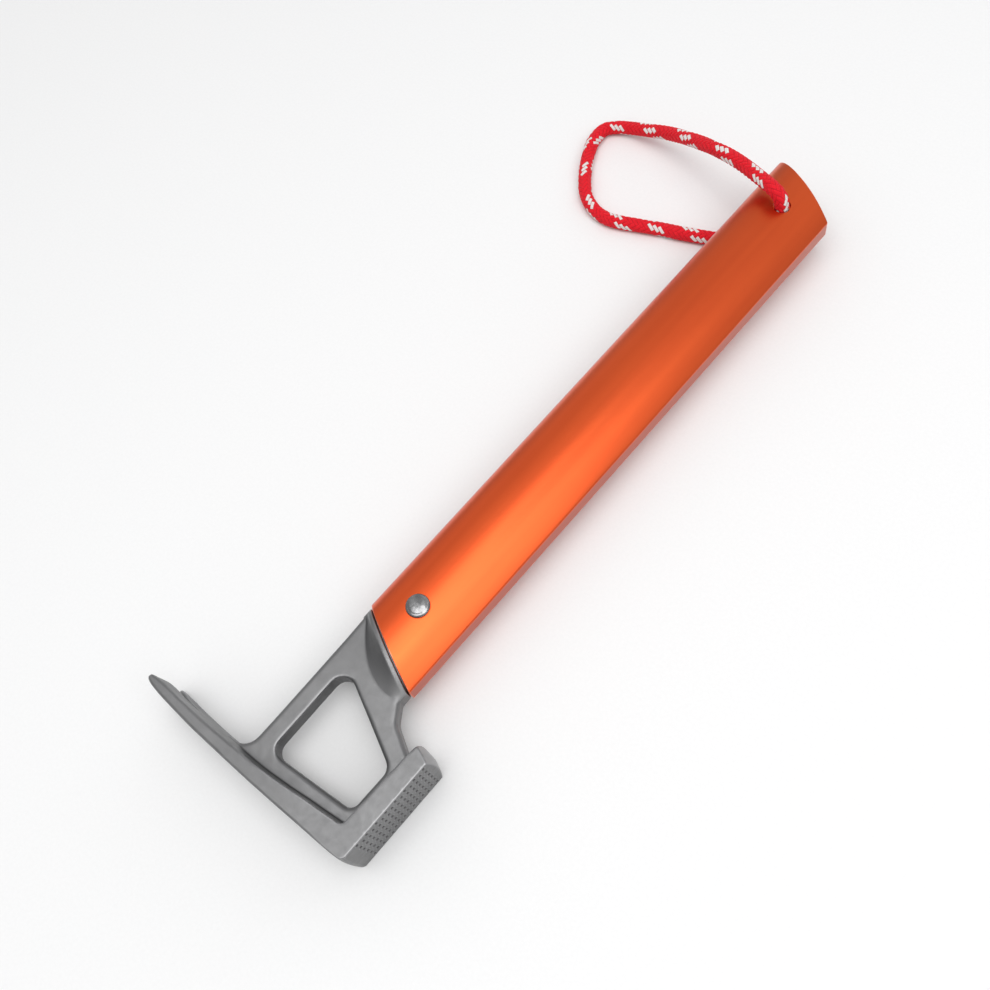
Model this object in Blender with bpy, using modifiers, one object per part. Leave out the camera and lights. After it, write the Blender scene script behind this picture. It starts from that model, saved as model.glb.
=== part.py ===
"""A camping hammer for tent stakes, lying on its side.

A cast steel head with a forked stake puller sits on an extruded aluminium tube. One rivet holds
the two together, and a cord wrist loop runs through a hole near the butt of the tube.

Units are metres. The hammer is modelled in its own frame, which the empty "hammer" places:
x points to the striking face, with the handle's centre line at x = 0, y points to the butt, and
z is the normal of the plane of symmetry. The cord under the butt props the handle up a little,
so the hammer lies at a slight angle, with the lowest point of the head on z = 0.
"""

import math

import bmesh
import bpy
from mathutils import Matrix, Vector

# Head, in the hammer's frame
HEAD_HALF = 0.0117          # half the thickness of the claw, the beam and the striking block
FACE_X = 0.0364             # plane of the striking face
FACE_LOW_Y = -0.0330
FACE_HIGH_Y = 0.0020
BLOCK_INNER_X = 0.0302      # back of the striking block
CLAW_TIP_X = -0.0512
HEAD_LOW_Y = -0.0384        # lowest edge of the claw beam
WEB_HALF = 0.0035           # half the thickness of the neck around the window
WEB_EDGE = 0.0020           # rounding of the neck's outer edges
INNER_EDGE = 0.0012         # rounding of the claw's and beam's handle side
FACE_EDGE = 0.0005          # rounding of the block's and claw's other edges

# V slot of the claw
SLOT_ROOT_X = -0.0340
SLOT_DEPTH = 0.0170
SLOT_ROOT_HALF = 0.0007

# Dimples of the striking face, in rows across it
DIMPLE_PITCH = 0.0020
DIMPLE_SPACING = 0.00397
DIMPLE_ROWS = 15
DIMPLE_RADIUS = 0.0007
DIMPLE_DEPTH = 0.0007

# Handle tube
HANDLE_HALF = 0.0088        # half the thickness at the broadest place
HANDLE_FRONT = 0.0151       # from the centre line to the flat front strip
HANDLE_REAR = 0.0151        # from the centre line to the rounded rear
STRIP_HALF = 0.0033         # half the width of the flat front strip
BROADEST_X = -0.0010        # where the tube is thickest
WALL = 0.0018
CUT_SLOPE = 0.435           # both ends of the tube are cut at this slope
HEAD_END_Y = 0.02025        # head end of the tube on the centre line
BUTT_END_Y = 0.23945        # butt end of the tube on the centre line

# Collar and tang of the head
COLLAR_GAP = 0.0006
COLLAR_INSET = 0.0007
COLLAR_BAND = 0.0022
COLLAR_CHAMFER = 0.0008
RAMP_FALL = 0.0093          # the ramp's thickness falls to 1/e over this length
RAMP_LENGTH = 0.0090
TANG_GAP = 0.00035
TANG_END_Y = 0.0480

# Rivet
RIVET_Y = 0.0354
RIVET_HEAD_RADIUS = 0.0040
RIVET_HEAD_HEIGHT = 0.0013
RIVET_SHANK_RADIUS = 0.0025
RIVET_HOLE_RADIUS = 0.0028
GAP = 0.0003

# Wrist loop
HOLE_Y = 0.2262
HOLE_RADIUS = 0.0031
CORD_DIAMETER = 0.0053
CORD_FLOOR_GAP = 0.00005
KNOT_RADIUS = 0.0048
KNOT_HALF = 0.0043

# The angle that the cord under the butt gives to the hammer
LIE_ANGLE = math.asin(
    (CORD_DIAMETER + CORD_FLOOR_GAP + GAP - HEAD_HALF + HANDLE_HALF) / (HOLE_Y - HEAD_LOW_Y)
)
HAMMER_PLACE = (0.007285, -0.103757, HEAD_HALF * math.cos(LIE_ANGLE) - HEAD_LOW_Y * math.sin(LIE_ANGLE))

# The loop's route from the top of the knot to its foot, from the middle of the lanyard hole,
# along the axes of the part. The loop lies on z = 0 and its lower strand runs under the butt.
CORD_ROUTE = [
    (0.0000, 0.0000, 0.0048),
    (0.0000, -0.0001, 0.0072),
    (-0.0002, -0.0001, 0.0098),
    (-0.0016, 0.0000, 0.0127),
    (-0.0050, 0.0004, 0.0143),
    (-0.0118, 0.0025, 0.0134),
    (-0.0211, 0.0051, 0.0121),
    (-0.0299, 0.0070, 0.0104),
    (-0.0402, 0.0095, 0.0065),
    (-0.0506, 0.0121, 0.0015),
    (-0.0616, 0.0138, -0.0035),
    (-0.0707, 0.0140, -0.0075),
    (-0.0790, 0.0132, -0.0103),
    (-0.0850, 0.0111, -0.01145),
    (-0.0887, 0.0074, -0.01175),
    (-0.0886, 0.0008, -0.01175),
    (-0.0862, -0.0053, -0.01175),
    (-0.0821, -0.0122, -0.01175),
    (-0.0775, -0.0185, -0.01175),
    (-0.0718, -0.0237, -0.01175),
    (-0.0652, -0.0267, -0.01175),
    (-0.0590, -0.0271, -0.01175),
    (-0.0532, -0.0255, -0.01175),
    (-0.0465, -0.0226, -0.01175),
    (-0.0393, -0.0195, -0.01175),
    (-0.0318, -0.0167, -0.01175),
    (-0.0211, -0.0122, -0.01175),
    (-0.0140, -0.0088, -0.01175),
    (-0.0075, -0.0048, -0.01175),
    (-0.0026, -0.0016, -0.01175),
    (-0.0013, -0.0008, -0.01133),
    (-0.00035, -0.0002, -0.0102),
    (0.0000, 0.0000, -0.0086),
    (0.0000, 0.0000, -0.0068),
    (0.0000, 0.0000, -0.0048),
]
CORD_STEPS = 2              # points of the tube for each stretch of the route

# Outlines in the plane of symmetry: corner x, corner y, corner radius
HEAD_OUTLINE = [
    (FACE_X, FACE_LOW_Y, 0.0),
    (FACE_X, FACE_HIGH_Y + 0.0008, 0.0),
    (0.0316, 0.0045, 0.0),
    (BLOCK_INNER_X, 0.0005, 0.0),
    (BLOCK_INNER_X, -0.0210, 0.0030),
    (0.0278, -0.0261, 0.0),
    (0.0138, -0.0290, 0.0),
    (0.0030, -0.0306, 0.0),
    (-0.0090, -0.0321, 0.0),
    (-0.0243, -0.0337, 0.0300),
    (-0.0400, -0.0345, 0.0300),
    (-0.0485, -0.0347, 0.0),
    (CLAW_TIP_X, -0.0357, 0.0),
    (-0.0505, -0.0369, 0.0),
    (-0.0400, -0.0380, 0.0200),
    (-0.0270, -0.0384, 0.0200),
    (-0.0150, -0.0375, 0.0),
]
NECK_OUTLINE = [
    (-0.0205, -0.0375, 0.0),
    (-0.0205, -0.0329, 0.0),
    (-0.0130, -0.0325, 0.0070),
    (-0.0130, -0.0070, 0.0),
    (-0.0138, 0.0240, 0.0),
    (0.0142, 0.0120, 0.0),
    (0.0143, 0.0100, 0.0),
    (0.0181, 0.0040, 0.0040),
    (0.0350, -0.0034, 0.0),
    (0.0350, -0.0315, 0.0),
]
WINDOW_OUTLINE = [
    (-0.0061, 0.0063, 0.0045),
    (-0.0051, -0.0268, 0.0045),
    (0.0294, -0.0225, 0.0045),
    (0.0294, -0.0081, 0.0040),
]


def clear_scene():
    for obj in list(bpy.data.objects):
        bpy.data.objects.remove(obj, do_unlink=True)


def collection(name):
    made = bpy.data.collections.new(name)
    bpy.context.scene.collection.children.link(made)
    return made


def material(name, colour, roughness, metallic):
    made = bpy.data.materials.new(name)
    made.use_nodes = True
    shader = made.node_tree.nodes["Principled BSDF"]
    shader.inputs["Base Color"].default_value = (*colour, 1.0)
    shader.inputs["Roughness"].default_value = roughness
    shader.inputs["Metallic"].default_value = metallic
    return made


def rounded(corners, steps=4):
    """Turns corners (x, y, radius) into points, with an arc at each corner that has a radius."""
    points = []
    for i, (x, y, radius) in enumerate(corners):
        here = Vector((x, y))
        before = (Vector(corners[i - 1][:2]) - here).normalized()
        after = (Vector(corners[(i + 1) % len(corners)][:2]) - here).normalized()
        half = before.angle(after) / 2
        if radius == 0:
            points.append(here)
            continue
        start = here + before * radius / math.tan(half)
        centre = here + (before + after).normalized() * radius / math.sin(half)
        arm = start - centre
        turn = (math.pi - 2 * half) * (1 if before.cross(after) < 0 else -1)
        points += [centre + Matrix.Rotation(turn * k / steps, 2) @ arm for k in range(steps + 1)]
    return points


def plate(outlines, half):
    """A plate about z = 0 with the first outline, and a hole for each further one."""
    curve = bpy.data.curves.new("outline", "CURVE")
    curve.dimensions = "2D"
    curve.fill_mode = "BOTH"
    curve.extrude = half
    for outline in outlines:
        spline = curve.splines.new("POLY")
        spline.points.add(len(outline) - 1)
        for spot, point in zip(spline.points, outline):
            spot.co = (point[0], point[1], 0, 1)
        spline.use_cyclic_u = True
    guide = bpy.data.objects.new("outline", curve)
    bpy.context.scene.collection.objects.link(guide)
    graph = bpy.context.evaluated_depsgraph_get()
    data = bpy.data.meshes.new_from_object(guide.evaluated_get(graph))
    bpy.data.objects.remove(guide, do_unlink=True)
    mesh = bmesh.new()
    mesh.from_mesh(data)
    bmesh.ops.remove_doubles(mesh, verts=mesh.verts, dist=0.000001)
    bmesh.ops.recalc_face_normals(mesh, faces=mesh.faces)
    bmesh.ops.dissolve_limit(
        mesh, angle_limit=math.radians(0.5), verts=mesh.verts, edges=mesh.edges
    )
    return mesh


def add(mesh, name, group, parent, coat=None):
    data = bpy.data.meshes.new(name)
    mesh.to_mesh(data)
    mesh.free()
    obj = bpy.data.objects.new(name, data)
    group.objects.link(obj)
    obj.parent = parent
    if coat:
        data.materials.append(coat)
    else:
        obj.hide_render = True
        obj.display_type = "WIRE"
    return obj


def boolean(target, cutter, operation):
    step = target.modifiers.new(cutter.name, "BOOLEAN")
    step.object = cutter
    step.operation = operation
    step.solver = "EXACT"


def round_edges(obj, width, share):
    """Rounds the sharp edges by width times share(x, y) of the edge's middle."""
    weights = obj.data.attributes.new("bevel_weight_edge", "FLOAT", "EDGE")
    mesh = bmesh.new()
    mesh.from_mesh(obj.data)
    mesh.edges.ensure_lookup_table()
    for edge in mesh.edges:
        if edge.calc_face_angle() > math.radians(30):
            middle = (edge.verts[0].co + edge.verts[1].co) / 2
            weights.data[edge.index].value = share(middle.x, middle.y)
    mesh.free()
    step = obj.modifiers.new("round_edges", "BEVEL")
    step.limit_method = "WEIGHT"
    step.offset_type = "OFFSET"
    step.width = width
    step.segments = 2
    step.use_clamp_overlap = False


def handle_section(inset, steps=8):
    """The tube's outline in x and z, moved in by inset, with the front strip at +x."""
    top = HANDLE_HALF - inset
    strip = STRIP_HALF - inset / 3
    front = HANDLE_FRONT - inset
    rear = -HANDLE_REAR + inset
    upper = []
    for k in range(steps):
        share = 1 - k / steps
        x = BROADEST_X + (front - BROADEST_X) * share
        upper.append(Vector((x, top - (top - strip) * share ** 2.2)))
    for k in range(steps):
        angle = math.pi / 2 * k / steps
        x = BROADEST_X - (BROADEST_X - rear) * math.sin(angle) ** 0.87
        upper.append(Vector((x, top * math.cos(angle) ** 0.87)))
    rearmost = [Vector((rear, 0))]
    lower = [Vector((p.x, -p.y)) for p in reversed(upper)]
    return upper + rearmost + lower


def along_handle(sections, low, high):
    """An extrusion along y between two parallel slanted cuts, given where they cross x = 0."""
    mesh = plate(sections, (high - low) / 2)
    stand = Matrix(((1, 0, 0, 0), (0, 0, -1, (low + high) / 2), (0, 1, 0, 0), (0, 0, 0, 1)))
    slant = Matrix(((1, 0, 0, 0), (-CUT_SLOPE, 1, 0, 0), (0, 0, 1, 0), (0, 0, 0, 1)))
    bmesh.ops.transform(mesh, matrix=slant @ stand, verts=mesh.verts)
    return mesh


def upright_cylinder(radius, half, y, sides=24):
    mesh = bmesh.new()
    bmesh.ops.create_cone(
        mesh, cap_ends=True, segments=sides, radius1=radius, radius2=radius, depth=2 * half
    )
    bmesh.ops.translate(mesh, verts=mesh.verts, vec=(0, y, 0))
    return mesh


def beam_edge(x, y):
    """The claw's and the beam's handle side is rounder than the rest of the bar."""
    middle_y = -0.0355 + 0.08 * (x + 0.05)
    inner = y > middle_y and -0.0490 < x < BLOCK_INNER_X + 0.0010
    return 1.0 if inner else FACE_EDGE / INNER_EDGE


def neck_edge(x, y):
    """The neck's outer edges are rounded, and the window's are left square."""
    window = -0.0075 < x < 0.0310 and -0.0275 < y < 0.0070 - 0.40 * (x + 0.0061)
    return 0.0 if window else 1.0


def make_bar(parts, hammer, steel):
    """Claw, beam and striking block: one L-shaped bar of the head's full thickness."""
    head = add(plate([rounded(HEAD_OUTLINE)], HEAD_HALF), "head", parts, hammer, steel)
    round_edges(head, INNER_EDGE, beam_edge)
    return head


def make_neck(cutters, hammer):
    """The thin neck between the bar and the collar, with its window."""
    outlines = [rounded(NECK_OUTLINE), rounded(WINDOW_OUTLINE)]
    neck = add(plate(outlines, WEB_HALF), "neck_body", cutters, hammer)
    round_edges(neck, WEB_EDGE, neck_edge)
    return neck


def make_collar(cutters, hammer):
    """The collar that continues the tube: a rim, a band, and a concave ramp down to the neck.

    Each ring is the tube's section, narrower and flatter the further it is down the ramp.
    """
    stations = [(0.0, COLLAR_INSET + COLLAR_CHAMFER, 1.0, 1.0)]
    stations.append((COLLAR_CHAMFER, COLLAR_INSET, 1.0, 1.0))
    for k in range(7):
        down = RAMP_LENGTH * k / 6
        stations.append((COLLAR_BAND + down, COLLAR_INSET, 1 - 16 * down, math.exp(-down / RAMP_FALL)))
    mesh = bmesh.new()
    rings = []
    for down, inset, wide, thick in stations:
        middle = HEAD_END_Y - COLLAR_GAP - down
        ring = []
        for point in handle_section(inset):
            x = point.x * wide
            ring.append(mesh.verts.new((x, middle - CUT_SLOPE * x, point.y * thick)))
        rings.append(ring)
    for upper, lower in zip(rings, rings[1:]):
        for i in range(len(upper)):
            j = (i + 1) % len(upper)
            mesh.faces.new((upper[i], upper[j], lower[j], lower[i]))
    mesh.faces.new(rings[0])
    mesh.faces.new(rings[-1])
    bmesh.ops.recalc_face_normals(mesh, faces=mesh.faces)
    return add(mesh, "collar_body", cutters, hammer)


def make_tang(cutters, hammer):
    start = HEAD_END_Y - COLLAR_GAP - COLLAR_BAND + 0.0005
    section = handle_section(WALL + TANG_GAP)
    return add(along_handle([section], start, TANG_END_Y), "tang_body", cutters, hammer)


def slot_half(x):
    """Half the width of the claw's V slot: narrow at its root, flared at the tips."""
    share = (SLOT_ROOT_X - x) / SLOT_DEPTH
    return SLOT_ROOT_HALF + 0.0022 * share + 0.0081 * share ** 4


def make_slot(cutters, hammer):
    count = 10
    xs = [SLOT_ROOT_X - (SLOT_DEPTH + 0.001) * k / count for k in range(count + 1)]
    side = [(x, slot_half(x)) for x in xs]
    outline = side + [(x, -z) for x, z in reversed(side)]
    mesh = plate([outline], 0.009)
    bmesh.ops.rotate(mesh, verts=mesh.verts, matrix=Matrix.Rotation(math.pi / 2, 3, "X"))
    bmesh.ops.translate(mesh, verts=mesh.verts, vec=(0, HEAD_LOW_Y + 0.002, 0))
    return add(mesh, "slot_cutter", cutters, hammer)


def make_dimples(cutters, hammer):
    """Cones point first into the striking face, six and five to a row by turns."""
    mesh = bmesh.new()
    slope = DIMPLE_RADIUS / DIMPLE_DEPTH
    outside = 0.0004
    for row in range(DIMPLE_ROWS):
        count = 6 - row % 2
        for k in range(count):
            cone = bmesh.ops.create_cone(
                mesh, cap_ends=True, segments=6, radius1=0.0,
                radius2=slope * (DIMPLE_DEPTH + outside), depth=DIMPLE_DEPTH + outside,
            )
            middle = FACE_X + (outside - DIMPLE_DEPTH) / 2
            z = (k - (count - 1) / 2) * DIMPLE_SPACING
            place = Matrix.Translation((middle, -row * DIMPLE_PITCH, z))
            turn = Matrix.Rotation(math.pi / 2, 4, "Y")
            bmesh.ops.transform(mesh, matrix=place @ turn, verts=cone["verts"])
    bmesh.ops.remove_doubles(mesh, verts=mesh.verts, dist=0.000001)
    return add(mesh, "dimple_cutter", cutters, hammer)


def make_head(parts, cutters, hammer, steel):
    head = make_bar(parts, hammer, steel)
    boolean(head, make_neck(cutters, hammer), "UNION")
    boolean(head, make_collar(cutters, hammer), "UNION")
    boolean(head, make_tang(cutters, hammer), "UNION")
    boolean(head, make_slot(cutters, hammer), "DIFFERENCE")
    boolean(head, make_dimples(cutters, hammer), "DIFFERENCE")
    bore = upright_cylinder(RIVET_HOLE_RADIUS, HANDLE_HALF, RIVET_Y)
    boolean(head, add(bore, "tang_bore", cutters, hammer), "DIFFERENCE")


def make_handle(parts, cutters, hammer, orange):
    """The tube is one extrusion, drilled through both walls for the rivet and for the cord."""
    tube = along_handle([handle_section(0), handle_section(WALL)], HEAD_END_Y, BUTT_END_Y)
    handle = add(tube, "handle_tube", parts, hammer, orange)
    rivet_hole = upright_cylinder(RIVET_HOLE_RADIUS, 2 * HANDLE_HALF, RIVET_Y)
    boolean(handle, add(rivet_hole, "rivet_hole", cutters, hammer), "DIFFERENCE")
    cord_hole = upright_cylinder(HOLE_RADIUS, 2 * HANDLE_HALF, HOLE_Y)
    boolean(handle, add(cord_hole, "cord_hole", cutters, hammer), "DIFFERENCE")


def make_rivet(parts, hammer, steel):
    """A turned rivet: a low flat head on each side of the tube and a shank between them."""
    under = HANDLE_HALF + GAP
    top = under + RIVET_HEAD_HEIGHT
    flat = RIVET_HEAD_RADIUS * 0.72
    middle = RIVET_HEAD_RADIUS * 0.92
    upper = [
        (0, top), (flat, top), (middle, top - 0.0004), (RIVET_HEAD_RADIUS, under + 0.0004),
        (RIVET_HEAD_RADIUS, under), (RIVET_SHANK_RADIUS, under),
    ]
    profile = upper + [(r, -z) for r, z in reversed(upper)]
    data = bpy.data.meshes.new("rivet")
    edges = [(i, i + 1) for i in range(len(profile) - 1)]
    data.from_pydata([(r, 0, z) for r, z in profile], edges, [])
    data.materials.append(steel)
    rivet = bpy.data.objects.new("rivet", data)
    parts.objects.link(rivet)
    rivet.parent = hammer
    rivet.location = (0, RIVET_Y, 0)
    turn = rivet.modifiers.new("turn", "SCREW")
    turn.axis = "Z"
    turn.steps = 32
    turn.render_steps = 32
    turn.use_merge_vertices = True
    turn.merge_threshold = 0.00001
    turn.use_normal_calculate = True


def smooth_route(route, steps):
    """Points on a Catmull-Rom curve through the route, steps to each stretch."""
    knots = [Vector(point) for point in route]
    ends = [2 * knots[0] - knots[1]] + knots + [2 * knots[-1] - knots[-2]]
    points = []
    for a, b, c, d in zip(ends, ends[1:], ends[2:], ends[3:]):
        for k in range(steps):
            t = k / steps
            points.append(
                0.5 * (2 * b + (c - a) * t + (2 * a - 5 * b + 4 * c - d) * t ** 2
                       + (3 * b - a - 3 * c + d) * t ** 3)
            )
    return points + [knots[-1]]


def make_cord(parts, lanyard, cloth):
    curve = bpy.data.curves.new("lanyard_cord", "CURVE")
    curve.dimensions = "3D"
    curve.bevel_depth = CORD_DIAMETER / 2
    curve.bevel_resolution = 3
    curve.render_resolution_u = 0
    curve.use_fill_caps = True
    points = smooth_route(CORD_ROUTE, CORD_STEPS)
    spline = curve.splines.new("POLY")
    spline.points.add(len(points) - 1)
    for spot, point in zip(spline.points, points):
        spot.co = (*point, 1)
    curve.materials.append(cloth)
    cord = bpy.data.objects.new("lanyard_cord", curve)
    parts.objects.link(cord)
    cord.parent = lanyard


def make_knot(parts, lanyard, cloth):
    mesh = bmesh.new()
    bmesh.ops.create_uvsphere(mesh, u_segments=20, v_segments=12, radius=1.0)
    bmesh.ops.scale(mesh, verts=mesh.verts, vec=(KNOT_RADIUS, KNOT_RADIUS, KNOT_HALF))
    add(mesh, "lanyard_knot", parts, lanyard, cloth)


def empty(name, group):
    made = bpy.data.objects.new(name, None)
    group.objects.link(made)
    return made


def shade(parts):
    for obj in parts.objects:
        if obj.type == "MESH":
            obj.data.shade_smooth()
            obj.data.set_sharp_from_angle(angle=math.radians(35))


def main():
    clear_scene()
    parts = collection("stake_hammer")
    cutters = collection("cutters")
    steel = material("cast_steel", (0.42, 0.42, 0.43), 0.38, 1.0)
    bright = material("rivet_steel", (0.60, 0.60, 0.62), 0.25, 1.0)
    orange = material("orange_anodised", (0.80, 0.17, 0.04), 0.30, 1.0)
    cloth = material("red_cord", (0.72, 0.02, 0.04), 0.80, 0.0)

    hammer = empty("hammer", parts)
    hammer.location = HAMMER_PLACE
    hammer.rotation_euler = (LIE_ANGLE, 0, 0)
    make_head(parts, cutters, hammer, steel)
    make_handle(parts, cutters, hammer, orange)
    make_rivet(parts, hammer, bright)

    lanyard = empty("lanyard", parts)
    turned = Matrix.Rotation(LIE_ANGLE, 3, "X") @ Vector((0, HOLE_Y, 0))
    lanyard.location = Vector(HAMMER_PLACE) + turned
    make_cord(parts, lanyard, cloth)
    make_knot(parts, lanyard, cloth)
    shade(parts)
    bpy.context.view_layer.update()


main()
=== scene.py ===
"""The looks of a camping stake hammer: cast head, anodised handle, rivet and braided wrist loop.

The hammer's own frame, in which the shapes below are written in millimetres, has x towards the
striking face, y towards the butt and z along the normal of its plane of symmetry. The matrix
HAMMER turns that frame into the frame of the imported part, in metres.
"""

import math

import bmesh
import bpy
import numpy as np
from mathutils import Matrix, Vector


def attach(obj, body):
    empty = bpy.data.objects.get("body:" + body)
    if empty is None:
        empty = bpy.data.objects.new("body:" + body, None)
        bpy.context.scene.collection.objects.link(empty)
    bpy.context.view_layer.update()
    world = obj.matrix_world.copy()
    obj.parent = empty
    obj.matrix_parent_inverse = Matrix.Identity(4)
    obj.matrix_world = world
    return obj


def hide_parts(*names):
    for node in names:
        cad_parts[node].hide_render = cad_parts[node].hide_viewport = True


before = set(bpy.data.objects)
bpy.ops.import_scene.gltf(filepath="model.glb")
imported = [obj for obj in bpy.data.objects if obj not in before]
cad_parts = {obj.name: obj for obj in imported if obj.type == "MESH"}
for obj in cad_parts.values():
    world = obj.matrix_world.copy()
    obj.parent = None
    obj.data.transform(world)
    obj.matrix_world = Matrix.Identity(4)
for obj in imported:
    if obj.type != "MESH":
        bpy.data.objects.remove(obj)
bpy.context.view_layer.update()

MM = 0.001
FAR = 1e9

# How the hammer lies, as in the part: a slight tilt about X over the cord under its butt
TILT = math.radians(0.59549)
HAMMER_PLACE = Vector((0.007285, -0.103757, 0.012098))
HAMMER = Matrix.Translation(HAMMER_PLACE) @ Matrix.Rotation(TILT, 4, "X")
HOLE_Y = 226.2
HINGE = HAMMER @ Vector((0, HOLE_Y * MM, 0))

# Head
HALF = 11.7                 # half the thickness of the claw, the beam and the striking block
FACE_X = 36.4
WEB_HALF = 3.4
CAP_LINE = 19.65            # where the collar's rim plane crosses the centre line
CUT_SLOPE = 0.435           # of the tube's slanted ends, in y for each step in x
CUT_COSINE = 0.917          # of the angle that this slope makes
COLLAR_INSET = 0.7
COLLAR_BAND = 1.6
RIM_CHAMFER = 0.15
NECK_ROUND = 1.5
SLOT_FOOT = -34.0
SLOT_LENGTH = 17.1
SLOT_HALF = 0.75

# Handle tube
TUBE_HALF = 8.8
TUBE_SIDE = 15.1
STRIP_HALF = 3.3
BROADEST_X = -1.0
STRIP_POWER = 2.2
ROUND_POWER = 2.3
WALL = 1.8
TUBE_START = 20.25
TUBE_END = 239.45

# Rivet, drilled holes and cord
RIVET_Y = 35.4
RIVET_HOLE_RADIUS = 2.8
CORD_HOLE_RADIUS = 3.1
ROUND_SIDES = 64
CORD_DIAMETER = 5.3
STRANDS_EACH_WAY = 8
WEAVE = 4                   # crossings before the weave repeats
WEAVE_TOP = 1.5             # the right-hand strand is on top at crossings below this number
WHITE_STRANDS = 3
YARNS = 5                   # side by side in each strand
BRAID_PITCH = 17.0
BRAID_PHASE = 0.225
BRAID_SUNK = 0.26           # how far the gaps between strands lie inside the cord's radius
BRAID_RAISED = 0.30         # how far the strands stand out of those gaps


# ---------------------------------------------------------------- camera and light

CAMERA_PLACE = Vector((0.131685, -0.101888, 0.323035))
CAMERA_FORWARD = Vector((-0.38733, 0.22842, -0.89320))
CAMERA_UP = Vector((-0.55589, 0.71502, 0.42392))
LENS = 37.72
SENSOR = 36.0


def make_camera():
    data = bpy.data.cameras.new("camera")
    data.lens = LENS
    data.sensor_width = SENSOR
    data.clip_start = 0.01
    camera = bpy.data.objects.new("camera", data)
    bpy.context.scene.collection.objects.link(camera)
    forward = CAMERA_FORWARD.normalized()
    right = forward.cross(CAMERA_UP).normalized()
    up = right.cross(forward)
    turn = Matrix((right, up, -forward)).transposed().to_4x4()
    camera.matrix_world = Matrix.Translation(CAMERA_PLACE) @ turn
    bpy.context.scene.camera = camera


def soft_box(name, place, target, size, radiance, colour=(1.0, 1.0, 1.0)):
    """A large soft light, given by how bright its face is."""
    data = bpy.data.lights.new(name, "AREA")
    data.shape = "RECTANGLE"
    data.size = size[0]
    data.size_y = size[1]
    data.energy = radiance * math.pi * size[0] * size[1]
    data.color = colour
    light = bpy.data.objects.new(name, data)
    bpy.context.scene.collection.objects.link(light)
    light.location = place
    light.rotation_euler = (Vector(target) - Vector(place)).to_track_quat("-Z", "Y").to_euler()


def make_lights():
    """A broad light above, one out beyond the striking face, two weak ones and a pale world."""
    soft_box("overhead", (-0.03, -0.16, 1.02), (-0.02, -0.14, 0.0), (0.60, 0.74), 2.7)
    soft_box("side", (0.78, 0.02, 1.02), (0.70, 0.02, 0.0), (0.68, 1.10), 2.05)
    soft_box("rear", (0.0, 1.0, 0.42), (0.0, -0.1, 0.0), (0.9, 0.35), 0.7, (0.90, 0.96, 1.0))
    soft_box("fill", (-0.92, 0.16, 0.44), (0.0, 0.0, 0.0), (0.9, 0.55), 0.15)
    world = bpy.data.worlds.new("studio")
    world.use_nodes = True
    tree = world.node_tree
    coords = tree.nodes.new("ShaderNodeTexCoord")
    parts = tree.nodes.new("ShaderNodeSeparateXYZ")
    ramp = tree.nodes.new("ShaderNodeValToRGB")
    ramp.color_ramp.elements[0].position = 0.02
    ramp.color_ramp.elements[0].color = (0.37, 0.37, 0.38, 1)
    ramp.color_ramp.elements[1].position = 0.74
    ramp.color_ramp.elements[1].color = (0.71, 0.71, 0.71, 1)
    tree.links.new(coords.outputs["Generated"], parts.inputs[0])
    tree.links.new(parts.outputs[2], ramp.inputs["Fac"])
    tree.links.new(ramp.outputs["Color"], tree.nodes["Background"].inputs["Color"])
    bpy.context.scene.world = world
    bpy.context.scene.view_settings.view_transform = "Standard"


# ---------------------------------------------------------------- materials

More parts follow.
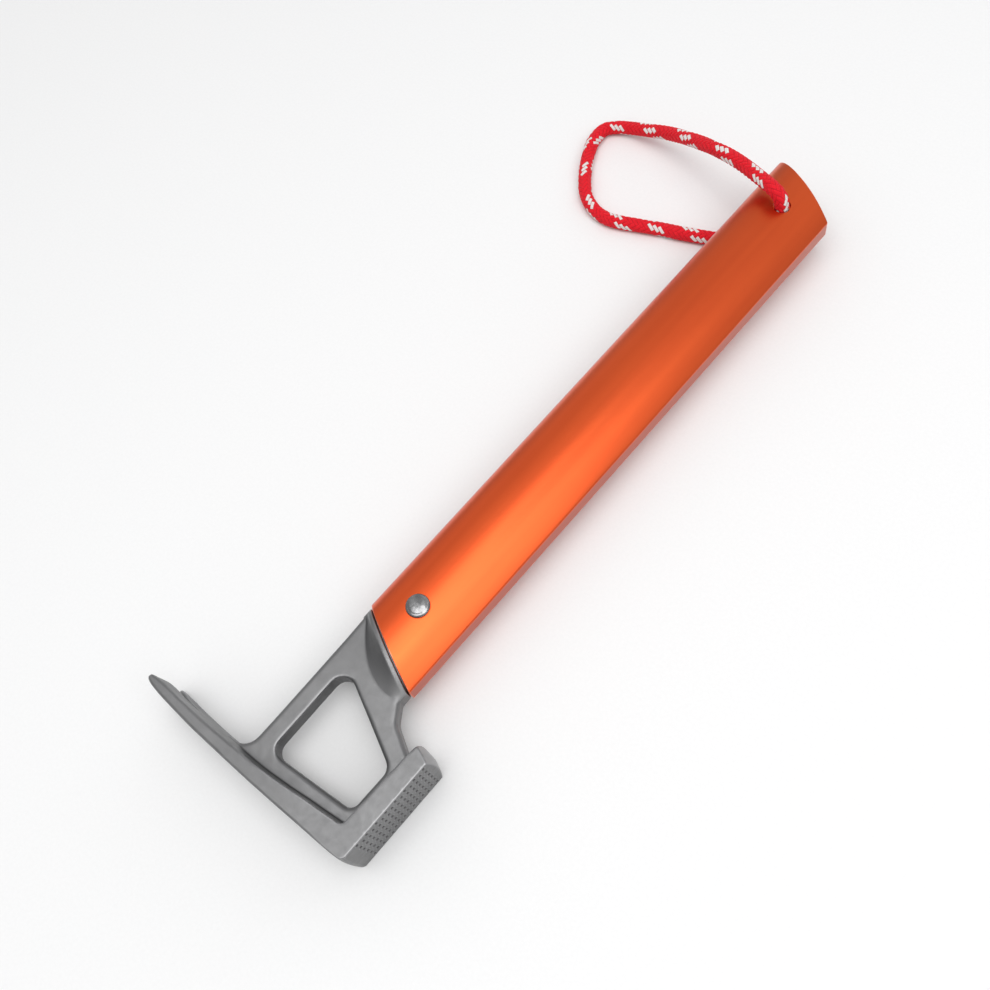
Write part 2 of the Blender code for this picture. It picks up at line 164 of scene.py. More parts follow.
class Nodes:
    """A material's node tree, with short calls to add and join nodes."""

    def __init__(self, name):
        self.material = bpy.data.materials.new(name)
        self.material.use_nodes = True
        self.tree = self.material.node_tree
        self.shader = self.tree.nodes["Principled BSDF"]

    def link(self, out, into):
        self.tree.links.new(out, into)

    def add(self, kind, **values):
        node = self.tree.nodes.new(kind)
        for key, value in values.items():
            setattr(node, key, value)
        return node

    def put(self, socket, value):
        """Joins another node's output to a socket, or sets the socket's own value."""
        if hasattr(value, "is_output"):
            self.link(value, socket)
        else:
            socket.default_value = value

    def surface(self, sockets):
        """Gives the surface shader's sockets, by name, their values or inputs."""
        for name, value in sockets.items():
            self.put(self.shader.inputs[name], value)

    def math(self, operation, first, second=0.0):
        node = self.add("ShaderNodeMath", operation=operation)
        self.put(node.inputs[0], first)
        self.put(node.inputs[1], second)
        return node.outputs[0]

    def place(self, scale=(1, 1, 1)):
        """The object's own coordinates, stretched by scale."""
        coords = self.add("ShaderNodeTexCoord")
        mapping = self.add("ShaderNodeMapping")
        mapping.inputs["Scale"].default_value = scale
        self.link(coords.outputs["Object"], mapping.inputs["Vector"])
        return mapping.outputs["Vector"]

    def noise(self, vector, scale, detail=2.0, roughness=0.5):
        node = self.add("ShaderNodeTexNoise")
        self.link(vector, node.inputs["Vector"])
        node.inputs["Scale"].default_value = scale
        node.inputs["Detail"].default_value = detail
        node.inputs["Roughness"].default_value = roughness
        return node.outputs["Fac"]

    def ramp(self, value, stops):
        node = self.add("ShaderNodeValToRGB")
        while len(node.color_ramp.elements) < len(stops):
            node.color_ramp.elements.new(0.5)
        for element, (position, colour) in zip(node.color_ramp.elements, stops):
            element.position = position
            element.color = (*colour, 1)
        self.link(value, node.inputs["Fac"])
        return node.outputs["Color"]

    def mix(self, share, first, second):
        """A blend of two colours, which are this node's inputs 6 and 7 and its output 2."""
        node = self.add("ShaderNodeMix", data_type="RGBA")
        self.put(node.inputs[0], share)
        self.put(node.inputs[6], first)
        self.put(node.inputs[7], second)
        return node.outputs[2]

    def bump(self, height, distance, strength=1.0, under=None):
        node = self.add("ShaderNodeBump")
        node.inputs["Strength"].default_value = strength
        node.inputs["Distance"].default_value = distance
        self.link(height, node.inputs["Height"])
        if under:
            self.link(under, node.inputs["Normal"])
        return node.outputs["Normal"]

    def value_range(self, value, low, high, to_low, to_high):
        node = self.add("ShaderNodeMapRange")
        self.link(value, node.inputs["Value"])
        ends = {"From Min": low, "From Max": high, "To Min": to_low, "To Max": to_high}
        for name, number in ends.items():
            node.inputs[name].default_value = number
        return node.outputs["Result"]


def steel_material():
    """Bead-blasted cast stainless steel. Its edges are lighter, partly rubbed bright and partly a painted
    highlight, and its hollows are darker with painted shade.

    The attribute edge is above 0 on outer edges and on the block's end, which gets a painted highlight, and
    below 0 in hollows and on the window's walls, which get painted shade.
    """
    n = Nodes("cast_steel_satin")
    vector = n.place()
    grain = n.noise(vector, 2600, 3, 0.6)
    cast = n.noise(vector, 420, 4, 0.6)
    cloud = n.noise(vector, 60, 3, 0.5)
    base = n.ramp(cloud, [(0.3, (0.185, 0.185, 0.187)), (0.7, (0.213, 0.213, 0.215))])
    wear_and_painted_shading = n.add("ShaderNodeAttribute", attribute_name="edge").outputs["Fac"]
    # Lighter edges: partly rubbed bright, partly a painted highlight; the block's end gets it too.
    lighter_edges = n.math("MULTIPLY", n.value_range(wear_and_painted_shading, 0.15, 0.75, 0.0, 1.0),
                  n.value_range(cast, 0.3, 0.6, 0.5, 1.0))
    # Painted shade: darker colour in hollows and on the window's walls.
    painted_shade = n.value_range(wear_and_painted_shading, -0.15, -0.70, 0.0, 0.75)
    colour = n.mix(lighter_edges, base, (0.34, 0.34, 0.345, 1))
    colour = n.mix(painted_shade, colour, (0.085, 0.085, 0.088, 1))
    rough = n.value_range(cast, 0.3, 0.7, 0.40, 0.52)
    rough = n.math("SUBTRACT", rough, n.math("MULTIPLY", lighter_edges, 0.10))
    normal = n.bump(cast, 0.00008, 0.5, n.bump(grain, 0.00002, 0.7))
    n.surface({"Base Color": colour, "Roughness": rough, "Metallic": 1.0, "Normal": normal})
    return n.material


def orange_material():
    """Orange anodised aluminium: satin, with the faint lines that extrusion leaves along it.

    The attribute edge is above 0 on rubbed rims and -1 on the two narrow sides, which are darker with
    painted shade.
    """
    n = Nodes("orange_anodised_satin")
    lines = n.noise(n.place((1, 0.012, 1)), 3200, 3, 0.55)
    broad = n.noise(n.place((1, 0.03, 1)), 260, 2, 0.5)
    grain = n.noise(n.place(), 3000, 2, 0.5)
    cloud = n.noise(n.place(), 35, 3, 0.5)
    blend = n.math("ADD", n.math("MULTIPLY", broad, 0.6), n.math("MULTIPLY", cloud, 0.4))
    base = n.ramp(blend, [(0.3, (0.69, 0.080, 0.010)), (0.7, (0.76, 0.098, 0.014))])
    wear_and_painted_shading = n.add("ShaderNodeAttribute", attribute_name="edge").outputs["Fac"]
    chips = n.noise(n.place(), 500, 4, 0.65)
    lighter_edges = n.math("MULTIPLY", n.value_range(wear_and_painted_shading, 0.3, 0.9, 0.0, 0.8),
                  n.value_range(chips, 0.42, 0.62, 0.15, 1.0))
    colour = n.mix(lighter_edges, base, (0.84, 0.26, 0.15, 1))
    # Painted shade: the two narrow sides are darker.
    colour = n.mix(n.value_range(wear_and_painted_shading, -0.1, -0.9, 0.0, 1.0), colour, (0.46, 0.057, 0.007, 1))
    rough = n.value_range(lines, 0.3, 0.7, 0.29, 0.34)
    normal = n.bump(lines, 0.000004, 0.3, n.bump(grain, 0.00001, 0.5))
    n.surface({"Base Color": colour, "Roughness": rough, "Metallic": 1.0, "Coat Weight": 0.45,
               "Coat Roughness": 0.32, "Normal": normal})
    return n.material


def rivet_material():
    """Polished steel, dented a little where the rivet was set."""
    n = Nodes("rivet_polished")
    dents = n.noise(n.place(), 420, 2, 0.4)
    fine = n.noise(n.place(), 2200, 3, 0.5)
    colour = n.ramp(dents, [(0.35, (0.20, 0.20, 0.205)), (0.65, (0.31, 0.31, 0.315))])
    rough = n.value_range(fine, 0.3, 0.7, 0.20, 0.32)
    normal = n.bump(dents, 0.00025, 0.6)
    n.surface({"Base Color": colour, "Roughness": rough, "Metallic": 1.0, "Normal": normal})
    return n.material


def cord_material():
    """A red braid of 16 strands; three neighbouring strands that wind one way are white."""
    n = Nodes("red_braid")
    uv = n.add("ShaderNodeUVMap", uv_map="braid")
    parts = n.add("ShaderNodeSeparateXYZ")
    n.link(uv.outputs["UV"], parts.inputs[0])
    turn, along = parts.outputs[0], parts.outputs[1]
    right = n.math("MULTIPLY", n.math("ADD", along, turn), STRANDS_EACH_WAY)
    left = n.math("MULTIPLY", n.math("SUBTRACT", along, turn), STRANDS_EACH_WAY)
    right_index = n.math("FLOOR", right)
    left_index = n.math("FLOOR", left)
    column = n.math("FLOORED_MODULO", n.math("SUBTRACT", right_index, left_index), WEAVE)
    right_on_top = n.math("LESS_THAN", column, WEAVE_TOP)
    left_on_top = n.math("SUBTRACT", 1.0, right_on_top)
    across = n.math("ADD", n.math("MULTIPLY", n.math("FRACT", right), right_on_top),
                    n.math("MULTIPLY", n.math("FRACT", left), left_on_top))
    yarns = n.math("SINE", n.math("MULTIPLY", across, 2 * math.pi * YARNS))
    gap = n.math("ABSOLUTE", n.math("SUBTRACT", across, 0.5))
    strand = n.math("FLOORED_MODULO", left_index, STRANDS_EACH_WAY)
    white = n.math("MULTIPLY", n.math("LESS_THAN", strand, WHITE_STRANDS - 0.5), left_on_top)
    white = n.math("MULTIPLY", white, n.math("LESS_THAN", gap, 0.44))
    fibre = n.noise(n.place(), 2600, 3, 0.6)
    red = n.ramp(fibre, [(0.25, (0.62, 0.003, 0.010)), (0.75, (0.90, 0.012, 0.028))])
    pale = n.ramp(fibre, [(0.25, (0.66, 0.60, 0.58)), (0.75, (0.92, 0.89, 0.87))])
    colour = n.mix(white, red, pale)
    # Painted shade: darker in the gaps between neighbouring strands.
    colour = n.mix(n.value_range(gap, 0.36, 0.5, 0.0, 0.55), colour, (0.20, 0.002, 0.006, 1))
    normal = n.bump(fibre, 0.00005, 0.4, n.bump(yarns, 0.00006, 0.6))
    n.surface({"Base Color": colour, "Roughness": 0.72, "Specular IOR Level": 0.25, "Sheen Weight": 0.06,
               "Sheen Roughness": 0.4, "Sheen Tint": (1.0, 0.75, 0.75, 1), "Normal": normal})
    return n.material


def floor_material():
    """Pale, nearly matt paper."""
    n = Nodes("pale_floor")
    paper = n.noise(n.place(), 900, 3, 0.6)
    colour = n.ramp(paper, [(0.3, (0.82, 0.82, 0.82)), (0.7, (0.84, 0.84, 0.84))])
    n.surface({"Base Color": colour, "Roughness": 0.9, "Specular IOR Level": 0.1})
    return n.material


# ---------------------------------------------------------------- shapes in the plane

def smooth_path(points, steps):
    """Points on a Catmull-Rom curve through the given ones, steps to each stretch."""
    knots = [np.array(p, float) for p in points]
    ends = [2 * knots[0] - knots[1]] + knots + [2 * knots[-1] - knots[-2]]
    found = []
    for a, b, c, d in zip(ends, ends[1:], ends[2:], ends[3:]):
        for k in range(steps):
            t = k / steps
            found.append(0.5 * (2 * b + (c - a) * t + (2 * a - 5 * b + 4 * c - d) * t ** 2
                                + (3 * b - a - 3 * c + d) * t ** 3))
    return found + [knots[-1]]


def rounded(corners, steps=6):
    """Turns corners (x, y, radius) into points, with an arc at each corner that has a radius."""
    points = []
    for i, (x, y, radius) in enumerate(corners):
        if radius == 0:
            points.append((x, y))
            continue
        here = Vector((x, y))
        before = (Vector(corners[i - 1][:2]) - here).normalized()
        after = (Vector(corners[(i + 1) % len(corners)][:2]) - here).normalized()
        half = before.angle(after) / 2
        start = here + before * radius / math.tan(half)
        centre = here + (before + after).normalized() * radius / math.sin(half)
        arm = start - centre
        turn = (math.pi - 2 * half) * (1 if before.cross(after) < 0 else -1)
        points += [tuple(centre + Matrix.Rotation(turn * k / steps, 2) @ arm) for k in range(steps + 1)]
    return points


def tube_section(inset, count=240):
    """The tube's outline in x and z as evenly spaced points, moved in by inset.

    It is half a superellipse on the claw's side, and on the other a curve that falls to a narrow
    flat strip. Averaging along the outline rounds the strip's two edges.
    """
    steps = 200
    upper = []
    for k in range(steps):
        share = 1 - k / steps
        x = BROADEST_X + (TUBE_SIDE - BROADEST_X) * share
        upper.append((x, TUBE_HALF - (TUBE_HALF - STRIP_HALF) * share ** STRIP_POWER))
    for k in range(steps + 1):
        angle = math.pi / 2 * k / steps
        x = BROADEST_X - (BROADEST_X + TUBE_SIDE) * math.sin(angle) ** (2 / ROUND_POWER)
        upper.append((x, TUBE_HALF * math.cos(angle) ** (2 / ROUND_POWER)))
    outline = np.array(upper + [(x, -z) for x, z in reversed(upper[:-1])])
    dense = even_points(outline, 8 * steps)
    reach = 14
    kernel = np.exp(-0.5 * (np.arange(-reach, reach + 1) / (reach / 4)) ** 2)
    kernel /= kernel.sum()
    padded = np.vstack([dense[-reach:], dense, dense[:reach]])
    dense = np.stack([np.convolve(padded[:, i], kernel, "valid") for i in (0, 1)], 1)
    ahead = np.roll(dense, -1, 0) - np.roll(dense, 1, 0)
    ahead /= np.linalg.norm(ahead, axis=1)[:, None]
    outward = np.stack([ahead[:, 1], -ahead[:, 0]], 1)
    return even_points(dense - outward * inset, count)


def even_points(outline, count):
    """Evenly spaced points round a closed outline."""
    loop = np.vstack([outline, outline[:1]])
    run = np.concatenate([[0], np.cumsum(np.linalg.norm(np.diff(loop, axis=0), axis=1))])
    where = np.arange(count) * run[-1] / count
    return np.stack([np.interp(where, run, loop[:, i]) for i in (0, 1)], 1)


def outline_distance(x, y, points):
    """The distance from each x, y to a closed outline, negative inside it."""
    best = np.full(x.shape, FAR, np.float32)
    inside = np.zeros(x.shape, bool)
    for i, (ax, ay) in enumerate(points):
        bx, by = points[(i + 1) % len(points)]
        ex, ey = bx - ax, by - ay
        px, py = x - ax, y - ay
        t = np.clip((px * ex + py * ey) / (ex * ex + ey * ey + 1e-12), 0, 1)
        best = np.minimum(best, (px - t * ex) ** 2 + (py - t * ey) ** 2)
        crosses = (ay > y) != (by > y)
        if ay != by:
            inside ^= crosses & (x < ex * (y - ay) / ey + ax)
    return np.where(inside, -1, 1) * np.sqrt(best)


# ---------------------------------------------------------------- the cast head

def head_slice(a):
    """The outline of claw, beam and block at the distance a from the plane of symmetry.

    Bulge is 1 in the middle of the thickness and 0 at its faces: it crowns the outer surfaces.
    """
    bulge = 1 - (a / HALF) ** 2
    low = 0.5 * bulge
    step = 0.45 + 0.35 * min(1.0, max(0.0, (HALF - a) / (HALF - WEB_HALF)))
    under = [(36.4, -32.6), (35.7, -33.7), (34.0, -34.25), (28.4, -34.8), (20.3, -35.35), (12.1, -35.95),
             (3.7, -36.5), (-4.9, -37.0), (-16.1, -37.5), (-27.9, -37.95), (-37.9, -37.95), (-43.2, -37.85),
             (-46.0, -37.7), (-48.3, -37.5), (-50.2, -37.05), (-51.2, -36.4)]
    under = smooth_path([(x, y - low) for x, y in under], 3)
    claw = [(-50.9, -35.4, 0.3), (-47.7, -35.4, 0.6 + 1.0 * bulge), (-44.5, -35.4, 0.9 + 0.65 * bulge),
            (-41.0, -35.4, 1.0 + 0.2 * bulge), (-37.6, -35.35, 1.0 + 0.1 * bulge),
            (-29.85, -34.85, 0.75 + 0.3 * bulge), (-24.3, -34.45, 0.65 + 0.45 * bulge),
            (-16.2, -33.85, 0.7 + 0.5 * bulge), (-10.8, -33.4, step + 0.15), (-4.9, -32.8, step),
            (-0.8, -32.3, step), (7.0, -31.15, step), (14.4, -29.8, step), (21.9, -28.6, step)]
    claw = smooth_path([(x, y + rise) for x, y, rise in claw], 3)
    inner = 28.7 + 1.1 * a / HALF
    block = rounded([
        (21.9, -28.6 + step, 0), (inner - 0.5, -27.4 + step, 2.0), (inner - 0.35, -20.0, 0),
        (inner + 0.35, 0.0, 0), (30.65 - 1.95 * bulge, 3.8 + 1.0 * bulge, 0.8),
        (33.6, 2.95 + 1.5 * bulge, 3.0), (FACE_X, 1.9 + 1.4 * bulge, 0.4), (FACE_X, -10.0, 0),
    ], 5)[1:]
    return [tuple(p) for p in under] + [tuple(p) for p in claw] + block


# Outlines of the windowed neck, as corners (x, y, radius)
NECK = [
    (-13.9, 25.0, 0), (-13.4, 12.0, 0), (-12.85, -20.0, 0), (-12.8, -31.9, 6.0), (-20.5, -32.9, 0),
    (-20.5, -37.0, 0), (34.0, -32.0, 0), (34.0, -2.8, 0), (26.8, 0.2, 3.0), (18.5, 4.4, 4.5),
    (14.5, 9.9, 2.0), (14.4, 12.5, 0),
]
WINDOW = [(-6.85, 7.25, 4.5), (-6.35, -27.4, 3.8), (25.85, -23.0, 3.3), (26.0, -6.9, 4.2)]


def soft_union(a, b, radius):
    """a and b together, with a fillet where they meet."""
    near = np.maximum(radius - a, 0) ** 2 + np.maximum(radius - b, 0) ** 2
    return np.maximum(radius, np.minimum(a, b)) - np.sqrt(near)


def soft_cut(a, b, radius):
    """a without b, with the new edge rounded."""
    b = -b
    near = np.maximum(radius + a, 0) ** 2 + np.maximum(radius + b, 0) ** 2
    return np.minimum(-radius, np.maximum(a, b)) + np.sqrt(near)


def rounded_plate(flat, height, radius):
    """A plate from its outline's distance, its faces' distance and its edge's radius."""
    side, top = flat + radius, height + radius
    outside = np.sqrt(np.maximum(side, 0) ** 2 + np.maximum(top, 0) ** 2)
    return np.minimum(np.maximum(side, top), 0) + outside - radius


def smooth_step(value, low, high):
    """0 below low, 1 above high and a smooth rise between them."""
    t = np.clip((value - low) / (high - low), 0, 1)
    return t * t * (3 - 2 * t)


def grid_line(stops):
    """Coordinates from stops (where, spacing): each stretch is filled at its spacing."""
    line = []
    for (start, spacing), (end, _) in zip(stops, stops[1:]):
        count = max(1, round((end - start) / spacing))
        line += [start + (end - start) * k / count for k in range(count)]
    return np.array(line + [stops[-1][0]], np.float32)


# Pits of the striking face: staggered rows along y, each pit wider across the face than along it
PIT_ROWS = 15
PIT_COLUMNS = 3             # on each side of the middle
ROW_STEP = 2.0
COLUMN_STEP = 3.97
PIT_ALONG = 0.52
PIT_ACROSS = 1.1
PIT_DEPTH = 1.1


def pit_distance(y, a):
    """How far each point of the face is from the middle of the nearest pit, in pit widths."""
    best = np.full(y.shape, FAR, np.float32)
    for row in range(PIT_ROWS):
        first = COLUMN_STEP / 2 if row % 2 == 0 else 0.0
        for column in range(PIT_COLUMNS):
            across = a - first - COLUMN_STEP * column
            best = np.minimum(best, ((y + ROW_STEP * row) / PIT_ALONG) ** 2 + (across / PIT_ACROSS) ** 2)
    return np.sqrt(best)


def collar_distance(x, y, a, section):
    """The collar: the tube's section up to its rim, hollowed to a ramp that ends on the neck.

    Gives the distances to the rim's plane, to the ramp and to the ramp's foot. The ramp starts
    below the band under the rim and reaches furthest down the neck near the middle. It is
    scooped, except at its side towards the striking block.
    """
    below = CAP_LINE - CUT_SLOPE * x - y
    top = -below * CUT_COSINE
    half = np.maximum(3.0, np.interp(x[:, 0], section[0], section[1]))[:, None]
    reach = 1.5 + 5.4 * np.clip(1 - ((x - 1.7) / 13.5) ** 2, 0, 1)
    share = (below - COLLAR_BAND) / reach
    scoop = 0.38 - 0.38 * smooth_step(x, 6.0, 12.0)
    height = WEB_HALF + (half - WEB_HALF) * (1 - share) * (1 - scoop * np.clip(share, 0, 2))
    ramp = np.where(share < 0, -FAR, (a - height) * 0.72)
    foot = (share - 1.35) * reach * 0.9
    return top, ramp, foot


def web_shape(x, y):
    """The neck's distance in its own plane, and how round its edges are at each place."""
    neck = outline_distance(x, y, rounded(NECK))
    window = outline_distance(x, y, rounded(WINDOW))
    rim = 0.65 + 0.75 * smooth_step(x, -5.5, -1.0) + 0.3 * smooth_step(x, 3.0, 12.0)
    radius = np.where(neck > -window, NECK_ROUND, rim)
    halfway = np.abs(neck + window) < 0.6
    return np.maximum(neck, -window), np.where(halfway, 1.35, radius)


def slot_shape(x):
    """Half the width of the claw's slot along x, and how steep its walls are for the distance."""
    share = np.clip((SLOT_FOOT - x) / SLOT_LENGTH, 0, 1.1)
    half = SLOT_HALF + 2.7 * share + 7.9 * share ** 5
    steepness = np.sqrt(1 + ((2.7 + 39.5 * share ** 4) / SLOT_LENGTH) ** 2)
    return half, steepness


def head_field(xs, ys, zs):
    """Distances to the head's surface on a grid, for one half of its thickness."""
    x, y = np.meshgrid(xs, ys, indexing="ij")
    web_flat, web_radius = web_shape(x, y)
    slot_half, slot_steepness = slot_shape(x)
    claw_edge = 0.7 * smooth_step(-x, 8.0, 16.0)
    lower_edge = 0.45 * smooth_step(-y - 0.09 * x, 31.5, 33.5)
    edge = 0.32 + np.maximum(claw_edge, lower_edge)
    outline = tube_section(COLLAR_INSET)
    upper = outline[outline[:, 1] >= 0]
    upper = upper[np.argsort(upper[:, 0])]
    section = (upper[:, 0], upper[:, 1])
    layers = []
    for a in zs:
        bar = outline_distance(x, y, head_slice(a))
        body = rounded_plate(bar, a - HALF, edge)
        web = rounded_plate(web_flat, a - WEB_HALF, web_radius)
        body = soft_union(body, web, 0.6)
        side = outline_distance(x[:, :1], np.full_like(x[:, :1], a), outline)
        top, ramp, foot = collar_distance(x, y, a, section)
        rim = 0.85 * side + 0.53 * top + RIM_CHAMFER
        collar = np.maximum(np.maximum(np.maximum(side, top), rim), np.maximum(ramp, foot))
        body = soft_union(body, collar, 0.15)
        slot_end = np.sqrt((x - SLOT_FOOT) ** 2 + a * a) - SLOT_HALF
        slot = np.where(x < SLOT_FOOT, (a - slot_half) / slot_steepness, slot_end)
        slot = np.maximum(slot, x - SLOT_FOOT - 1.0)
        body = soft_cut(body, slot, 0.35)
        layers.append(body.astype(np.float32))
    field = np.stack(layers, 2)
    face_y, face_a = np.meshgrid(ys, zs, indexing="ij")
    near = xs > FACE_X - 2.0
    depth = FACE_X - xs[near][:, None, None]
    pits = (pit_distance(face_y, face_a)[None] - 1.0 + depth / PIT_DEPTH) * 0.5
    field[near] = np.maximum(field[near], -pits)
    return field


def surface_net(field, xs, ys, zs):
    """A smooth quad mesh where the field is zero: one vertex in each grid cell that it crosses."""
    inside = field < 0
    corner = [(i, j, k) for i in (0, 1) for j in (0, 1) for k in (0, 1)]
    shape = [n - 1 for n in field.shape]
    count = np.zeros(shape, np.int8)
    for i, j, k in corner:
        count += inside[i:i + shape[0], j:j + shape[1], k:k + shape[2]]
    cells = np.argwhere((count > 0) & (count < 8))
    index = np.full(shape, -1, np.int32)
    index[tuple(cells.T)] = np.arange(len(cells))
    lines = (xs, ys, zs)
    total = np.zeros((len(cells), 3))
    hits = np.zeros(len(cells))
    for axis in range(3):
        for start in (c for c in corner if c[axis] == 0):
            end = list(start)
            end[axis] = 1
            a = cells + np.array(start)
            b = cells + np.array(end)
            fa, fb = field[tuple(a.T)], field[tuple(b.T)]
            cut = (fa < 0) != (fb < 0)
            t = np.where(cut, fa / np.where(cut, fa - fb, 1), 0)
            hits += cut
            for other in range(3):
                pa, pb = lines[other][a[:, other]], lines[other][b[:, other]]
                total[:, other] += np.where(cut, pa + (pb - pa) * t, 0)
    verts = total / hits[:, None]
    quads = []
    for axis in range(3):
        u, v = (axis + 1) % 3, (axis + 2) % 3
        low = [slice(1, -1)] * 3
        low[axis] = slice(0, -1)
        high = list(low)
        high[axis] = slice(1, None)
        first, second = inside[tuple(low)], inside[tuple(high)]
        edges = np.argwhere(first != second)
        offset = np.ones(3, int)
        offset[axis] = 0
        edges = edges + offset
        out = inside[tuple(edges.T)]
        ring = []
        for du, dv in ((-1, -1), (0, -1), (0, 0), (-1, 0)):
            cell = edges.copy()
            cell[:, u] += du
            cell[:, v] += dv
            ring.append(index[tuple(cell.T)])
        ring = np.stack(ring, 1)
        ring[~out] = ring[~out][:, ::-1]
        quads.append(ring)
    return verts, np.vstack(quads)


def sample(field, lines, points):
    """The field between its grid points."""
    spot, part = [], []
    for axis, line in enumerate(lines):
        i = np.clip(np.searchsorted(line, points[:, axis]) - 1, 0, len(line) - 2)
        spot.append(i)
        part.append((points[:, axis] - line[i]) / (line[i + 1] - line[i]))
    total = 0
    for di in (0, 1):
        for dj in (0, 1):
            for dk in (0, 1):
                weight = 1
                for share, far in zip(part, (di, dj, dk)):
                    weight = weight * (share if far else 1 - share)
                total = total + weight * field[spot[0] + di, spot[1] + dj, spot[2] + dk]
    return total


def edge_measure(field, lines, points, reach):
    """Above 0 on outer edges and below 0 in hollows, from how the distance averages nearby."""
    total = np.zeros(len(points))
    for axis in range(3):
        for sign in (-1, 1):
            moved = points.copy()
            moved[:, axis] += sign * reach
            total += sample(field, lines, moved)
    return np.clip(total / 6 / reach * 3.0, -1, 1)


def mesh_from_arrays(name, points, quads, place=None):
    """A smooth mesh of quads. With a place, its points are millimetres in that frame."""
    data = bpy.data.meshes.new(name)
    data.vertices.add(len(points))
    if place is not None:
        matrix = np.array(place)
        points = points @ matrix[:3, :3].T * MM + matrix[:3, 3]
    data.vertices.foreach_set("co", np.asarray(points, np.float32).ravel())
    data.loops.add(quads.size)
    data.loops.foreach_set("vertex_index", quads.ravel().astype(np.int32))
    data.polygons.add(len(quads))
    data.polygons.foreach_set("loop_start", np.arange(0, quads.size, 4, dtype=np.int32))
    data.update(calc_edges=True)
    data.validate()
    data.shade_smooth()
    return data


def new_piece(name, data, material, body):
    """An object for the mesh that rides on a body, with the material in its slot."""
    obj = bpy.data.objects.new(name, data)
    bpy.context.scene.collection.objects.link(obj)
    data.materials.append(material)
    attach(obj, body)
    return obj


def add_edge_attribute(data, values):
    layer = data.attributes.new("edge", "FLOAT", "POINT")
    layer.data.foreach_set("value", np.asarray(values, np.float32))


def paint_head_light_and_shade(points, edges):
    """Paints shade on the cast skin inside the window and a highlight on the end of the block."""
    x, y, z = points.T
    # Painted shade on the window's walls.
    wall = np.exp(-(outline_distance(x, y, rounded(WINDOW)) / 0.5) ** 2)
    wall *= smooth_step(WEB_HALF - np.abs(z), 0.3, 1.2)
    # Painted highlight on the end of the striking block.
    end = smooth_step(x, 30.0, 31.0) * smooth_step(y, 1.6, 2.4)
    end *= smooth_step(HALF - np.abs(z), 0.0, 0.8) * (x < FACE_X - 0.15)
    edges = edges * (1 - wall) - 0.75 * wall
    return edges * (1 - end) + np.maximum(edges, 0.6) * end


def make_head(steel):
    """The casting, as a mesh round a grid of distances that is finest at its small features."""
    coarse = 1.0
    xs = grid_line([(-52.4, 0.32 * coarse), (-33.0, 0.6 * coarse), (-16.0, 0.4 * coarse),
                    (-3.0, 0.6 * coarse), (27.5, 0.4 * coarse), (35.6, 0.12 * coarse), (36.8, 0.12)])
    ys = grid_line([(-39.8, 0.25 * coarse), (-30.0, 0.2 * coarse), (1.0, 0.25 * coarse),
                    (6.0, 0.33 * coarse), (27.0, 0.33)])
    half = np.arange(0.1, 12.5, 0.2 * coarse, dtype=np.float32)
    field = head_field(xs, ys, half)
    field = np.concatenate([field[:, :, ::-1], field], 2)
    zs = np.concatenate([-half[::-1], half])
    points, quads = surface_net(field, xs, ys, zs)
    edges = edge_measure(field, (xs, ys, zs), points, 0.7)
    data = mesh_from_arrays("head_cast", points, quads, HAMMER)
    add_edge_attribute(data, paint_head_light_and_shade(points, edges))
    head = new_piece("head_cast", data, steel, "hammer")
    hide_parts("head")


def capped_rings(name, rings):
    """A closed mesh through rings of points in the hammer's own frame."""
    mesh = bmesh.new()
    rows = [[mesh.verts.new(HAMMER @ (Vector(p) * MM)) for p in ring] for ring in rings]
    for lower, upper in zip(rows, rows[1:]):
        for i in range(len(lower)):
            j = (i + 1) % len(lower)
            mesh.faces.new((lower[i], lower[j], upper[j], upper[i]))
    mesh.faces.new(rows[0])
    mesh.faces.new(rows[-1])
    bmesh.ops.recalc_face_normals(mesh, faces=mesh.faces)
    data = bpy.data.meshes.new(name)
    mesh.to_mesh(data)
    mesh.free()
    return data


def make_tang(steel):
    """The part of the head inside the tube, which shows in the gap between collar and tube."""
    section = tube_section(WALL + 0.35, 96)
    ends = (CAP_LINE - 0.8, 32.0, 48.0)
    data = capped_rings("head_tang", [[(x, end - CUT_SLOPE * x, z) for x, z in section] for end in ends])
    data.shade_smooth()
    data.set_sharp_from_angle(angle=math.radians(40))
    new_piece("head_tang", data, steel, "hammer")


# ---------------------------------------------------------------- handle and rivet

def tube_stations():
    """Places along the tube: close together round the two drilled holes."""
    line = [TUBE_START + 0.6]
    for middle in (RIVET_Y, HOLE_Y):
        line += list(np.arange(middle - 13, middle + 13.1, 0.8))
    line += list(np.linspace(RIVET_Y + 14, HOLE_Y - 14, 24))
    return sorted(y for y in line if TUBE_START + 0.5 < y < TUBE_END - 0.5) + [TUBE_END - 0.6]


# The rounded rims of the tube's wall, as (depth below the surface, distance back from the end)
OUTER_LIP = ((0.26, 0.0), (0.17, 0.02), (0.08, 0.06), (0.03, 0.12), (0.01, 0.20))
INNER_LIP = ((0.3, 0.0), (0.1, 0.08), (0.0, 0.3))
OUTER_WEAR = 0.9
INNER_WEAR = 0.4


